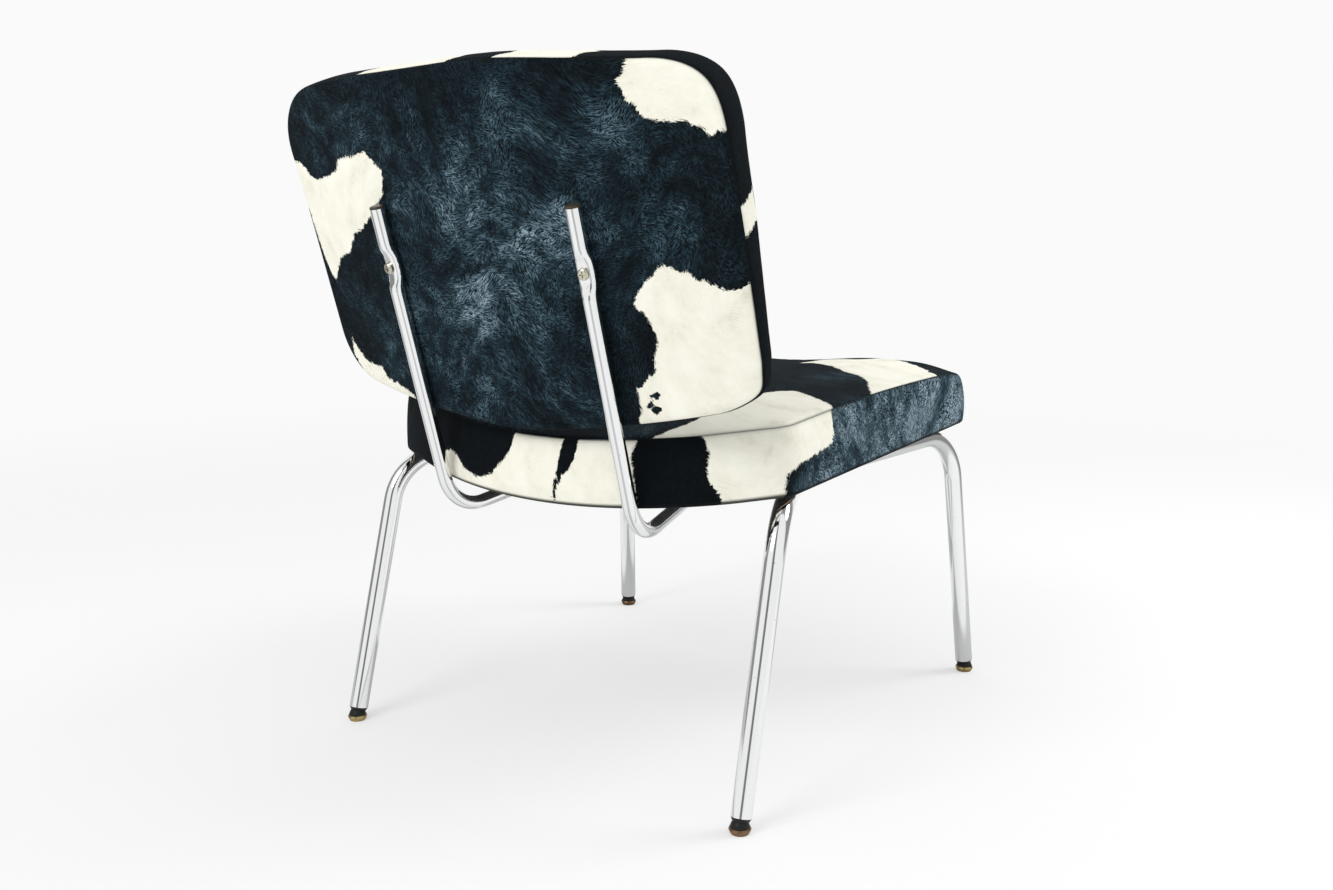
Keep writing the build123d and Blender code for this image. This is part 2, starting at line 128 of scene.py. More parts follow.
# Hide print: edges of small marks, fraying of the ovals and lie of the hairs; then painted shade on the
# seat's hidden rings and along its hem, and painted sheen on the pile
SPOT_EDGE = 2.5
STRIPE_EDGE = 2.0
ALL_DARK = -50
BAND_MID = 17
WARP = 12
WARP_SIZE = 90
FRAY = 5
FRAY_SIZE = 34
HAIR_SCALE = (980.0, 230.0, 300.0)
HAIR_LIES = (0.3, 1.3, 2.4)
BACK_FLOW = 20
SEAT_SIDE_FLOW = 12
SEAT_TOP_FLOW = 30
# Painted shade: how near to black the seat's hidden rings and its hem are drawn
HIDDEN_SHADE = 0.95
HEM_SHADE = 0.9
# Painted sheen where the pile catches the light: base amount, weight of the soft spots, and how much it fades
# towards the back's sides and top
SHEEN_BASE = 0.16
SHEEN_SPOT_WEIGHT = 0.30
SHEEN_RIM_FADE = 0.2

# Camera that took the photo
PHOTO_AZIMUTH = 213.811
PHOTO_ELEVATION = 9.81
CAMERA_AT = (-0.88899, 1.29288, 0.60155)
LENS = 35.527
SENSOR = 36.0


# Small tools for outlines and meshes.


def turn(start, end, count=CORNER_STEPS):
    return np.linspace(start, end, count)


def arc(x, y, radius, angles):
    return np.stack([x + radius * np.cos(angles), y + radius * np.sin(angles)], 1)


def bow_radius(half, bow):
    return (half**2 + bow**2) / (2 * bow)


def even(points, steps):
    """The same line with its points evenly spaced."""
    gaps = np.linalg.norm(np.diff(points, axis=0), axis=1)
    points = points[np.concatenate([[True], gaps > 1e-9])]
    at = np.concatenate([[0], np.cumsum(np.linalg.norm(np.diff(points, axis=0), axis=1))])
    wanted = np.linspace(0, at[-1], steps + 1)
    return np.stack([np.interp(wanted, at, points[:, i]) for i in range(2)], 1)


def corner(half, crown, bow_r, corner_r, side):
    """Centre of a rounded corner, the angle where it meets the bowed edge, and the bow's centre."""
    bow_at = crown - side * bow_r
    x = half - corner_r
    rise = math.sqrt((bow_r - corner_r) ** 2 - x**2)
    return x, bow_at + side * rise, math.atan2(rise, x), bow_at


def sides(shape, inset, steps=GRID):
    """The four edges of a cushion's outline, each from mid corner to mid corner, counter-clockwise."""
    half, hi, hi_r, hi_corner, lo, lo_r, lo_corner = shape
    half, hi, lo = half - inset, hi - inset, lo + inset
    hi_r, lo_r = hi_r - inset, lo_r - inset
    hi_corner, lo_corner = max(hi_corner - inset, 1), max(lo_corner - inset, 1)
    hx, hy, ha, hb = corner(half, hi, hi_r, hi_corner, 1)
    lx, ly, la, lb = corner(half, lo, lo_r, lo_corner, -1)
    right = np.concatenate([
        arc(lx, ly, lo_corner, turn(-la / 2, 0)),
        arc(hx, hy, hi_corner, turn(0, ha / 2)),
    ])
    top = np.concatenate([
        arc(hx, hy, hi_corner, turn(ha / 2, ha)),
        arc(0, hb, hi_r, turn(ha, math.pi - ha, BOW_STEPS)),
        arc(-hx, hy, hi_corner, turn(math.pi - ha, math.pi - ha / 2)),
    ])
    low = np.concatenate([
        arc(-lx, ly, lo_corner, turn(math.pi + la / 2, math.pi + la)),
        arc(0, lb, lo_r, turn(math.pi + la, 2 * math.pi - la, BOW_STEPS)),
        arc(lx, ly, lo_corner, turn(2 * math.pi - la, 2 * math.pi - la / 2)),
    ])
    left = right[::-1] * (-1, 1)
    return [even(side, steps) for side in (right, top, left, low)]


def ring(shape, inset):
    return np.concatenate([side[:-1] for side in sides(shape, inset)])


def panel(shape, inset):
    """A grid of points that fills the outline, and the places of its rim in ring order."""
    right, top, left, low = sides(shape, inset)
    n = GRID
    u = np.linspace(0, 1, n + 1)[:, None, None]
    w = np.linspace(0, 1, n + 1)[None, :, None]
    up, down, lhs, rhs = top[::-1][:, None], low[:, None], left[::-1][None], right[None]
    flat = (1 - w) * down + w * up + (1 - u) * lhs + u * rhs
    flat = flat - (1 - u) * (1 - w) * low[0] - u * (1 - w) * low[-1]
    flat = flat - (1 - u) * w * top[-1] - u * w * top[0]
    rim = [(n, k) for k in range(n)] + [(n - k, n) for k in range(n)]
    rim += [(0, n - k) for k in range(n)] + [(k, 0) for k in range(n)]
    return flat.reshape(-1, 2), [i * (n + 1) + j for i, j in rim]


def grid_faces(first, flip):
    n = GRID + 1
    faces = []
    for i in range(GRID):
        for j in range(GRID):
            a = first + i * n + j
            quad = (a, a + n, a + n + 1, a + 1)
            faces.append(quad[::-1] if flip else quad)
    return faces


def strip_faces(lower, upper):
    faces = []
    for k in range(len(lower)):
        nxt = (k + 1) % len(lower)
        faces.append((lower[k], lower[nxt], upper[nxt], upper[k]))
    return faces


def closed_form(shape, under_inset, insets, over_inset):
    """A closed cushion of an under panel, side rings and an over panel: flat points, rows and faces."""
    under, under_rim = panel(shape, under_inset)
    over, over_rim = panel(shape, over_inset)
    flat = [under]
    rows = [np.full(len(under), -1)]
    faces = grid_faces(0, True)
    lower = under_rim
    first = len(under)
    for row, inset in enumerate(insets):
        flat.append(ring(shape, inset))
        rows.append(np.full(4 * GRID, row))
        upper = list(range(first, first + 4 * GRID))
        faces += strip_faces(lower, upper)
        lower = upper
        first += 4 * GRID
    flat.append(over)
    rows.append(np.full(len(over), len(insets)))
    faces += strip_faces(lower, [first + i for i in over_rim])
    faces += grid_faces(first, False)
    return np.concatenate(flat), np.concatenate(rows), faces


def make_object(name, points, faces, material):
    mesh = bpy.data.meshes.new(name)
    mesh.from_pydata([tuple(p) for p in points], [], faces)
    mesh.polygons.foreach_set("use_smooth", [True] * len(mesh.polygons))
    mesh.materials.append(material)
    mesh.update()
    made = bpy.data.objects.new(name, mesh)
    bpy.context.scene.collection.objects.link(made)
    return made


def give(piece, name, values):
    """Writes one number or vector for each point, for the material to read."""
    kind = "FLOAT_VECTOR" if values.ndim == 2 else "FLOAT"
    kept = piece.data.attributes.new(name, kind, "POINT")
    kept.data.foreach_set("vector" if values.ndim == 2 else "value", values.astype(np.float32).ravel())


def waves(x, y, size, seed, count=6):
    """A smooth, even lumpiness of about unit height and the given size, the same on every run."""
    dice = np.random.default_rng(seed)
    total = np.zeros_like(x)
    for _ in range(count):
        angle = dice.uniform(0, 2 * np.pi)
        phase = dice.uniform(0, 2 * np.pi)
        stretch = dice.uniform(0.7, 1.4)
        along = x * np.cos(angle) + y * np.sin(angle)
        total += np.sin(along * 2 * np.pi / (size * stretch) + phase)
    return total / math.sqrt(count)


def step(low, high, values):
    """0 below the range, 1 above it and smooth between."""
    t = np.clip((values - low) / (high - low), 0, 1)
    return t * t * (3 - 2 * t)


def hill(x, y, cx, cy, reach):
    """1 at one place, falling smoothly to 0 round it."""
    return np.exp(-((x - cx) ** 2 + (y - cy) ** 2) / reach**2)


def swell(piece, held, cap, pressure=4.0, frames=20):
    """Blows the cover up round its filling as cloth; held says how firmly each point is sewn down."""
    group = piece.vertex_groups.new(name="held")
    for firmness in np.unique(held):
        group.add(np.flatnonzero(held == firmness).tolist(), float(firmness), "REPLACE")
    cloth = piece.modifiers.new("cloth", "CLOTH")
    cloth.settings.quality = 4
    cloth.settings.use_pressure = True
    cloth.settings.uniform_pressure_force = pressure
    cloth.settings.vertex_group_mass = "held"
    cloth.settings.effector_weights.gravity = 0
    cloth.point_cache.frame_end = frames
    for moment in range(1, frames + 1):
        bpy.context.scene.frame_set(moment)
    blown = piece.evaluated_get(bpy.context.evaluated_depsgraph_get()).data
    after = np.empty(3 * len(blown.vertices))
    blown.vertices.foreach_get("co", after)
    before = np.empty_like(after)
    piece.data.vertices.foreach_get("co", before)
    gap = (after - before).reshape(-1, 3)
    reach = np.linalg.norm(gap, axis=1)
    gap *= np.minimum(1, cap / np.maximum(reach, 1e-9))[:, None]
    piece.modifiers.remove(cloth)
    piece.data.vertices.foreach_set("co", before + gap.ravel())
    piece.data.update()
    bpy.context.scene.frame_set(1)


# Patches of the hide print: distances in millimetres, above zero inside a white patch.


def inside(x, y, corners):
    """Distance to a patch drawn by its corners."""
    at = np.stack([x, y], 1)
    nearest = np.full(len(x), 1e9)
    within = np.zeros(len(x), bool)
    for a, b in zip(corners, corners[1:] + corners[:1]):
        a, b = np.array(a, float), np.array(b, float)
        along = np.clip(((at - a) @ (b - a)) / ((b - a) @ (b - a)), 0, 1)
        nearest = np.minimum(nearest, np.linalg.norm(at - a - along[:, None] * (b - a), axis=1))
        crosses = (a[1] > y) != (b[1] > y)
        rise = b[1] - a[1] if b[1] != a[1] else 1.0
        within ^= crosses & (x < (b[0] - a[0]) * (y - a[1]) / rise + a[0])
    return np.where(within, nearest, -nearest)


def any_of(x, y, patches):
    return np.max([inside(x, y, patch) for patch in patches], axis=0)


def blots(x, y, places, seed):
    """Irregular patches of the print, each drawn as an oval on a warped ground."""
    warped_x = x + WARP * waves(x, y, WARP_SIZE, seed) + FRAY * waves(x, y, FRAY_SIZE, seed + 1)
    warped_y = y + WARP * waves(x, y, WARP_SIZE, seed + 2) + FRAY * waves(x, y, FRAY_SIZE, seed + 3)
    ovals = []
    for cx, cy, rx, ry in places:
        ovals.append((1 - np.hypot((warped_x - cx) / rx, (warped_y - cy) / ry)) * min(rx, ry))
    return np.max(ovals, axis=0)


def glow(x, y, spots):
    """Painted sheen: where the pile is drawn catching the light, 0 to 1."""
    total = np.zeros_like(x)
    for cx, cy, reach, amount in spots:
        total = np.maximum(total, amount * hill(x, y, cx, cy, reach))
    return total


# Materials.


def new_material(name):
    made = bpy.data.materials.new(name)
    made.use_nodes = True
    tree = made.node_tree
    return made, tree, tree.nodes["Principled BSDF"]


def link_or_set(tree, socket, value):
    if isinstance(value, bpy.types.NodeSocket):
        tree.links.new(value, socket)
    else:
        socket.default_value = value


def math_node(tree, operation, a, b=0.0, c=0.0):
    node = tree.nodes.new("ShaderNodeMath")
    node.operation = operation
    for socket, value in zip(node.inputs, (a, b, c)):
        link_or_set(tree, socket, value)
    return node.outputs[0]


def centred(tree, value, amount, onto):
    """A texture swung about its middle and added to another value."""
    return math_node(tree, "MULTIPLY_ADD", math_node(tree, "SUBTRACT", value, 0.5), amount, onto)


def ranged(tree, value, low, high, to_low=0.0, to_high=1.0):
    node = tree.nodes.new("ShaderNodeMapRange")
    node.interpolation_type = "SMOOTHSTEP"
    for socket, given in zip(node.inputs, (value, low, high, to_low, to_high)):
        link_or_set(tree, socket, given)
    return node.outputs[0]


def stretched(tree, vector, scale):
    node = tree.nodes.new("ShaderNodeVectorMath")
    node.operation = "MULTIPLY"
    tree.links.new(vector, node.inputs[0])
    node.inputs[1].default_value = scale
    return node.outputs[0]


def turned(tree, vector, angle):
    node = tree.nodes.new("ShaderNodeVectorRotate")
    node.rotation_type = "Z_AXIS"
    tree.links.new(vector, node.inputs["Vector"])
    node.inputs["Angle"].default_value = angle
    return node.outputs[0]


def speckle(tree, vector, scale, detail=2.0, rough=0.5, distortion=0.0):
    node = tree.nodes.new("ShaderNodeTexNoise")
    tree.links.new(vector, node.inputs["Vector"])
    node.inputs["Scale"].default_value = scale
    node.inputs["Detail"].default_value = detail
    node.inputs["Roughness"].default_value = rough
    node.inputs["Distortion"].default_value = distortion
    return node.outputs[0]


def ramp(tree, value, stops):
    node = tree.nodes.new("ShaderNodeValToRGB")
    tree.links.new(value, node.inputs[0])
    while len(node.color_ramp.elements) < len(stops):
        node.color_ramp.elements.new(0.5)
    for element, (place, colour) in zip(node.color_ramp.elements, stops):
        element.position = place
        element.color = (*colour, 1)
    return node.outputs[0]


def mixed(tree, amount, first, second):
    node = tree.nodes.new("ShaderNodeMix")
    node.data_type = "RGBA"
    for socket, value in ((node.inputs[0], amount), (node.inputs[6], first), (node.inputs[7], second)):
        link_or_set(tree, socket, (*value, 1) if isinstance(value, tuple) else value)
    return node.outputs[2]


def bump(tree, shader, height, strength, distance):
    node = tree.nodes.new("ShaderNodeBump")
    node.inputs["Strength"].default_value = strength
    node.inputs["Distance"].default_value = distance
    tree.links.new(height, node.inputs["Height"])
    tree.links.new(node.outputs[0], shader.inputs["Normal"])


def read(tree, name, output="Fac"):
    node = tree.nodes.new("ShaderNodeAttribute")
    node.attribute_name = name
    return node.outputs[output]


def object_place(tree):
    return tree.nodes.new("ShaderNodeTexCoord").outputs["Object"]


def hairs(tree, flow, angle):
    """Fine hairs that lie along one direction."""
    along = stretched(tree, turned(tree, flow, angle), HAIR_SCALE)
    return speckle(tree, along, 1.0, 2.0, 0.65, 0.6)


def hide_material():
    """Short plush printed as cowhide: blue-black with painted sheen where its brushed pile catches the light,
    cream patches with hairy edges, and painted shade in seams and hidden parts.
    """
    made, tree, shader = new_material("hide_plush")
    flow = read(tree, "flow", "Vector")
    white = read(tree, "white")
    painted_sheen = read(tree, "painted_sheen")
    crease_shade = read(tree, "crease_shade")

    # Hairs in three lies, which take turns over the cloth in whorls.
    lies = [hairs(tree, flow, angle) for angle in HAIR_LIES]
    whorl = speckle(tree, flow, 22.0, 1.0)
    first_turn = ranged(tree, whorl, 0.40, 0.50)
    second_turn = ranged(tree, whorl, 0.52, 0.62)
    strand = mixed(tree, second_turn, mixed(tree, first_turn, lies[0], lies[1]), lies[2])

    ragged = speckle(tree, flow, 95.0, 3.0, 0.6)
    edge = centred(tree, ragged, 8.0, centred(tree, strand, 11.0, white))
    is_white = ranged(tree, edge, -0.6, 0.6)

    # Painted sheen: the blue-black pile drawn lighter where it catches the light, in blotches and tufts and
    # along single hairs
    blotch = speckle(tree, flow, 13.0, 4.0, 0.6)
    tuft = speckle(tree, flow, 48.0, 2.0, 0.6)
    uneven = centred(tree, tuft, 1.9, centred(tree, blotch, 2.8, 1.0))
    shine = ranged(tree, math_node(tree, "MULTIPLY", painted_sheen, uneven), -0.1, 1.1, 0.0, 1.1)
    lit = math_node(tree, "MULTIPLY", shine, ranged(tree, strand, 0.36, 0.66, 0.08, 1.6))
    dark = ramp(tree, lit, [
        (0.0, (0.0022, 0.0027, 0.0032)),
        (0.10, (0.0050, 0.0095, 0.0130)),
        (0.30, (0.0160, 0.0340, 0.0460)),
        (0.60, (0.0760, 0.1280, 0.1620)),
        (1.0, (0.2800, 0.3600, 0.4150)),
    ])

    mottle = centred(tree, strand, 0.4, speckle(tree, flow, 26.0, 4.0, 0.6))
    pale = ramp(tree, mottle, [
        (0.22, (0.70, 0.68, 0.57)),
        (0.40, (0.845, 0.83, 0.715)),
        (0.58, (0.90, 0.885, 0.775)),
        (0.80, (0.935, 0.925, 0.84)),
    ])
    fur = mixed(tree, is_white, dark, pale)
    # Painted shade: seam creases, the hem and hidden rings drawn towards near black
    tree.links.new(mixed(tree, crease_shade, fur, (0.006, 0.007, 0.008)), shader.inputs["Base Color"])
    tree.links.new(ranged(tree, is_white, 0.0, 1.0, 0.78, 0.9), shader.inputs["Roughness"])
    shader.inputs["Specular IOR Level"].default_value = 0.05
    shader.inputs["Sheen Weight"].default_value = 0.02
    shader.inputs["Sheen Roughness"].default_value = 0.4
    shader.inputs["Sheen Tint"].default_value = (0.62, 0.78, 0.90, 1)
    bump(tree, shader, math_node(tree, "MULTIPLY_ADD", ragged, 0.6, strand), 0.4, 0.0014)
    return made


def metal_material(name, colour, worn, low, high, grain=260.0):
    """Plated metal: faint cloudiness, fine scratches and small spots of wear."""
    made, tree, shader = new_material(name)
    place = object_place(tree)
    cloud = speckle(tree, place, 35.0, 3.0)
    spots = ranged(tree, speckle(tree, place, grain, 2.0, 0.7), 0.70, 0.80)
    scratch = speckle(tree, stretched(tree, place, (900.0, 900.0, 60.0)), 1.0, 1.0)
    tree.links.new(mixed(tree, spots, colour, worn), shader.inputs["Base Color"])
    shader.inputs["Metallic"].default_value = 1.0
    haze = math_node(tree, "MULTIPLY_ADD", scratch, 0.4, cloud)
    tree.links.new(ranged(tree, haze, 0.3, 1.1, low, high), shader.inputs["Roughness"])
    bump(tree, shader, scratch, 0.02, 0.0002)
    return made


def plastic_material(name, dark, light, rough):
    made, tree, shader = new_material(name)
    place = object_place(tree)
    grain = speckle(tree, place, 900.0, 2.0)
    smear = speckle(tree, place, 60.0, 3.0)
    tree.links.new(mixed(tree, smear, dark, light), shader.inputs["Base Color"])
    tree.links.new(ranged(tree, smear, 0.3, 0.7, rough - 0.1, rough + 0.12), shader.inputs["Roughness"])
    shader.inputs["Specular IOR Level"].default_value = 0.2
    bump(tree, shader, grain, 0.15, 0.0003)
    return made


def wood_material():
    made, tree, shader = new_material("plywood_birch")
    grain = speckle(tree, stretched(tree, object_place(tree), (160.0, 9.0, 160.0)), 1.0, 4.0, 0.6, 0.8)
    tone = ramp(tree, grain, [(0.3, (0.42, 0.28, 0.16)), (0.7, (0.62, 0.46, 0.29))])
    tree.links.new(tone, shader.inputs["Base Color"])
    tree.links.new(ranged(tree, grain, 0.2, 0.8, 0.55, 0.75), shader.inputs["Roughness"])
    bump(tree, shader, grain, 0.2, 0.0004)
    return made


def threads(tree, place, direction):
    node = tree.nodes.new("ShaderNodeTexWave")
    node.bands_direction = direction
    node.inputs["Scale"].default_value = 220.0
    tree.links.new(place, node.inputs["Vector"])
    return node.outputs["Fac"]


def weave_material(name, dark, light):
    made, tree, shader = new_material(name)
    place = object_place(tree)
    cloth = math_node(tree, "MULTIPLY", threads(tree, place, "X"), threads(tree, place, "Y"))
    dust = speckle(tree, place, 18.0, 3.0)
    tone = math_node(tree, "MULTIPLY_ADD", dust, 0.5, math_node(tree, "MULTIPLY", cloth, 0.5))
    tree.links.new(mixed(tree, tone, dark, light), shader.inputs["Base Color"])
    tree.links.new(ranged(tree, tone, 0.0, 1.0, 0.95, 0.75), shader.inputs["Roughness"])
    bump(tree, shader, cloth, 0.4, 0.0004)
    return made


hide = hide_material()
chrome = metal_material("chrome_plate", (0.86, 0.865, 0.87), (0.42, 0.40, 0.37), 0.035, 0.11)
zinc = metal_material("zinc_screw", (0.62, 0.60, 0.50), (0.30, 0.28, 0.22), 0.22, 0.42)
brass = metal_material("worn_brass", (0.40, 0.31, 0.13), (0.10, 0.07, 0.035), 0.14, 0.36, 330.0)
bronze = metal_material("browned_brass", (0.21, 0.125, 0.07), (0.06, 0.04, 0.025), 0.25, 0.5, 330.0)
black = plastic_material("black_moulding", (0.007, 0.007, 0.007), (0.018, 0.018, 0.017), 0.42)
olive = plastic_material("dark_plug", (0.02, 0.018, 0.012), (0.075, 0.068, 0.045), 0.35)
birch = wood_material()
lining = weave_material("black_lining", (0.006, 0.006, 0.007), (0.03, 0.03, 0.032))

LOOKS = [
    (chrome, ("side_frame", "back_support", "cross_tube", "cross_rod", "seat_tab")),
    (zinc, ("ball_stud", "tee_nuts", "screws")),
    (olive, ("top_plug",)),
    (black, ("glide_insert", "glide_socket")),
    (birch, ("seat_board", "back_board")),
    (brass, ("rear_left_glide_base", "front_right_glide_base")),
    (bronze, ("rear_right_glide_base", "front_left_glide_base")),
]
for node_name, node in nodes.items():
    for look, endings in LOOKS:
        if node_name.endswith(endings):
            for material_slot in node.material_slots:
                material_slot.material = look


# The back cushion: across (x) and up (v) from its middle, and the depth in front of its rear face.

BACK_SHAPE = (BACK_HALF, BACK_TOP, bow_radius(BACK_HALF, BACK_TOP_BOW), BACK_TOP_CORNER_R,
              BACK_LOW, bow_radius(BACK_HALF, BACK_LOW_BOW), BACK_LOW_CORNER_R)
# Each ring: inset from the outline, depth as a share of the thickness, depth added, and painted shade in the
# seam crease.
BACK_REAR_RINGS = [(9, 0, 0.3, 0), (5.5, 0, 0.8, 0), (3, 0, 1.6, 0), (1.8, 0, 2.4, 0.15), (1.6, 0, 3.4, 0.8)]
BACK_SIDE_RINGS = [(0.9, 0, 4.4, 0.2), (0, 0, 6.5, 0), (-0.3, 0.3, 0, 0), (-0.5, 0.48, 0, 0),
                   (-0.3, 0.64, 0, 0), (0, 1, -9, 0), (0.9, 1, -7, 0.2)]
BACK_FRONT_RINGS = [(1.7, 1, -6, 0.8), (1.8, 1, -5, 0.15), (3, 1, -3.4, 0), (6, 1, -1.8, 0), (10, 1, -0.6, 0)]
BACK_RINGS = BACK_REAR_RINGS + BACK_SIDE_RINGS + BACK_FRONT_RINGS

# Patches as corners, and soft spots of painted sheen as middle, reach and strength
BACK_WHITE = [
    [(320, 108), (273, 104), (265, 99), (258, 89), (243, 87), (219, 92), (199, 99), (192, 108), (185, 113),
     (162, 114), (139, 120), (128, 111), (115, 100), (121, 83), (126, 73), (144, 61), (160, 49), (175, 38),
     (198, 27), (214, 8), (239, -2), (251, -16), (263, -31), (270, -23), (274, -6), (279, 19), (283, 54),
     (320, 60)],
    [(-196, 215), (-197, 191), (-194, 179), (-187, 174), (-186, 171), (-190, 164), (-192, 155), (-198, 152),
     (-205, 139), (-211, 136), (-222, 134), (-243, 132), (-259, 124), (-266, 115), (-272, 120), (-300, 120),
     (-300, 215)],
    [(-305, -20), (-280, -20), (-271, -24), (-262, -26), (-256, -25), (-248, -21), (-239, -13), (-232, -15),
     (-227, -8), (-213, -4), (-202, 2), (-194, -2), (-190, -8), (-178, -17), (-171, -24), (-164, -36),
     (-172, -43), (-177, -51), (-180, -62), (-184, -69), (-182, -81), (-179, -85), (-175, -104),
     (-167, -113), (-153, -124), (-153, -136), (-155, -143), (-150, -158), (-148, -195), (-305, -195)],
    [(262, -97), (258, -109), (249, -117), (235, -127), (210, -128), (205, -140), (188, -144), (171, -149),
     (160, -154), (150, -190), (265, -190), (258, -136), (267, -120)],
]
BACK_SPOTS = [
    [(-173, -124), (-165, -130), (-168, -134), (-177, -135), (-177, -127)],
    [(-162, -136), (-162, -142), (-167, -149), (-171, -151), (-173, -146), (-178, -147), (-177, -143),
     (-170, -141), (-167, -136)],
]
BACK_SHEEN_SPOTS = [
    (-62, 132, 55, 0.75), (-2, 56, 75, 0.9), (-37, 8, 80, 0.95), (-104, 39, 50, 0.8), (5, -43, 75, 0.9),
    (-202, 98, 26, 0.6), (-164, 139, 28, 0.6), (70, 110, 60, 0.5), (110, 20, 50, 0.5), (60, -120, 60, 0.6),
    (-40, -130, 60, 0.55), (-130, 100, 30, 0.6), (-225, 20, 30, 0.4), (200, 150, 60, 0.4), (105, 80, 45, 0.6),
    (150, 160, 50, 0.4), (120, -50, 40, 0.5), (165, -105, 45, 0.4), (-220, 60, 30, 0.45),
]
BAND_WHITE = [
    [(-15, 150), (-10, 198), (-15, 230), (122, 230), (116, 196), (122, 150)],
    [(-155, 150), (-148, 195), (-155, 230), (-62, 230), (-70, 198), (-62, 150)],
    [(-240, 56), (-310, 56), (-310, 28), (-240, 28)],
]
# Ovals on the unseen front: middle and half widths
FRONT_WHITE = [
    (-150, 110, 80, 48), (90, 40, 84, 52), (130, 0, 56, 44), (-80, -90, 84, 46), (215, 150, 56, 34),
    (195, -115, 50, 34), (-240, -20, 44, 54),
]


def back_cushion():
    flat, rows, faces = closed_form(BACK_SHAPE, BACK_UNDER_INSET, [r[0] for r in BACK_RINGS], BACK_OVER_INSET)
    x, v = flat[:, 0].copy(), flat[:, 1].copy()
    front = rows == len(BACK_RINGS)
    first_side = len(BACK_REAR_RINGS)
    first_front = first_side + len(BACK_SIDE_RINGS)
    is_rear, is_front = rows < first_side, rows >= first_front
    thick = BACK_LOW_T + (BACK_TOP_T - BACK_LOW_T) * (v - BACK_LOW) / (BACK_TOP - BACK_LOW)
    # The front swells towards its middle; the rear stays flat on its board, with a faint lumpiness inwards.
    middle = (BACK_TOP + BACK_LOW) / 2
    full_across = np.clip(1 - (x / BACK_HALF) ** 2, 0, 1)
    full_up = np.clip(1 - ((v - middle) / (BACK_TOP - middle)) ** 2, 0, 1)
    lump = waves(x, v, 130, seed=3)
    front_depth = thick + BACK_CROWN * (full_across * full_up) ** BACK_FULLNESS + BACK_LUMP * lump
    depth = np.where(front, front_depth, BACK_REAR_LUMP * (lump + 1.5))
    # Painted shade in the seam creases, from each ring's last number
    crease_shade = np.zeros(len(x))
    for row, (_, share, more, tone) in enumerate(BACK_RINGS):
        here = rows == row
        depth[here] = share * thick[here] + more
        crease_shade[here] = tone
    # The band puckers beside its seams.
    near_rear = np.exp(-((depth - REAR_SEAM) / SEAM_REACH) ** 2)
    near_front = np.exp(-((thick - depth - FRONT_SEAM) / SEAM_REACH) ** 2)
    pucker = BACK_PUCKER * np.maximum(near_rear, near_front) * waves(x + 0.3 * v, v - 0.3 * x, 26, seed=5)
    depth += np.where(is_rear | is_front, 0, pucker)
    # As in the photo, the sides come forward less than the middle's curve would bring them, one side reaches
    # further out and droops at the top, the other's corners are squarer, and the foot hangs in the middle.
    beyond = np.maximum(np.abs(x) - BACK_FLAT_FROM, 0) / (BACK_HALF - BACK_FLAT_FROM)
    right_more = 0.5 * step(20, 110, v) - 0.9 * step(120, 180, v)
    flatter = BACK_FLATTER * beyond**2 * (1 + (x < 0) * right_more)
    upper, foot = step(60, 190, v), 1 - step(-150, -60, v)
    peak = hill(x, v, -258, 168, 35)
    heel = hill(x, v, -268, -134, 20)
    rise = TOP_RISE * np.exp(-(((x + 50) / 80) ** 2)) - LEFT_DROOP * step(150, 290, x)
    v += upper * rise + foot * (FOOT_LIFT - FOOT_HANG * np.exp(-((x / 80) ** 2))) + RIGHT_PEAK * peak
    reach = LEFT_REACH + LEFT_REACH_TILT * v + LEFT_TOP_REACH * step(60, 150, v)
    x += reach * step(-60, 240, x) - RIGHT_PEAK * peak - RIGHT_HEEL * heel
    n = np.array([0, math.cos(BACK_LEAN), -math.sin(BACK_LEAN)])
    up = np.array([0, math.sin(BACK_LEAN), math.cos(BACK_LEAN)])
    out = np.sqrt((BACK_R - depth) ** 2 - x**2) - BACK_AXIS + flatter
    points = np.array(BACK_MID) + x[:, None] * (1, 0, 0) + out[:, None] * n + v[:, None] * up
    made = make_object("back_cushion", points * MM, faces, hide)

    on_rear = np.minimum(any_of(x, v, BACK_WHITE), -SPOT_EDGE * any_of(x, v, BACK_SPOTS))
    on_front = blots(x, v, FRONT_WHITE, 50)
    slant = depth - BAND_MID
    band_x = x + 0.35 * slant + 3 * waves(depth, v, 15, seed=52)
    on_band = any_of(band_x, v - 0.5 * slant, BAND_WHITE)
    give(made, "white", np.where(is_rear, on_rear, np.where(is_front, on_front, on_band)))
    # Painted sheen: a base amount and soft spots on the rear, fading towards its sides and top; a little on
    # the band, more at its upper left; an even lumpy amount on the front
    rim = step(0, 60, BACK_HALF - np.abs(x)) * step(0, 50, BACK_TOP - v)
    sheen_rear = (SHEEN_BASE + SHEEN_SPOT_WEIGHT * glow(x, v, BACK_SHEEN_SPOTS)) * (1 - SHEEN_RIM_FADE + SHEEN_RIM_FADE * rim)
    sheen_band = 0.05 + 0.2 * upper * step(150, 260, x)
    sheen_front = 0.24 + 0.12 * waves(x, v, 170, seed=11)
    give(made, "painted_sheen", np.where(is_front, sheen_front, np.where(is_rear, sheen_rear, sheen_band)))
    give(made, "crease_shade", crease_shade)
    flow_x = x + BACK_FLOW * waves(x, v, 230, seed=21, count=4)
    flow_v = v + BACK_FLOW * waves(x, v, 210, seed=22, count=4)
    give(made, "flow", np.stack([flow_x, flow_v, 3 * depth], 1) * MM)
    swell(made, np.where(front, 0.0, 1.0), BACK_SWELL * MM)
    return made


# The seat cushion: across (x) and along (y, falling to the front) its board, and the height (z) above it.

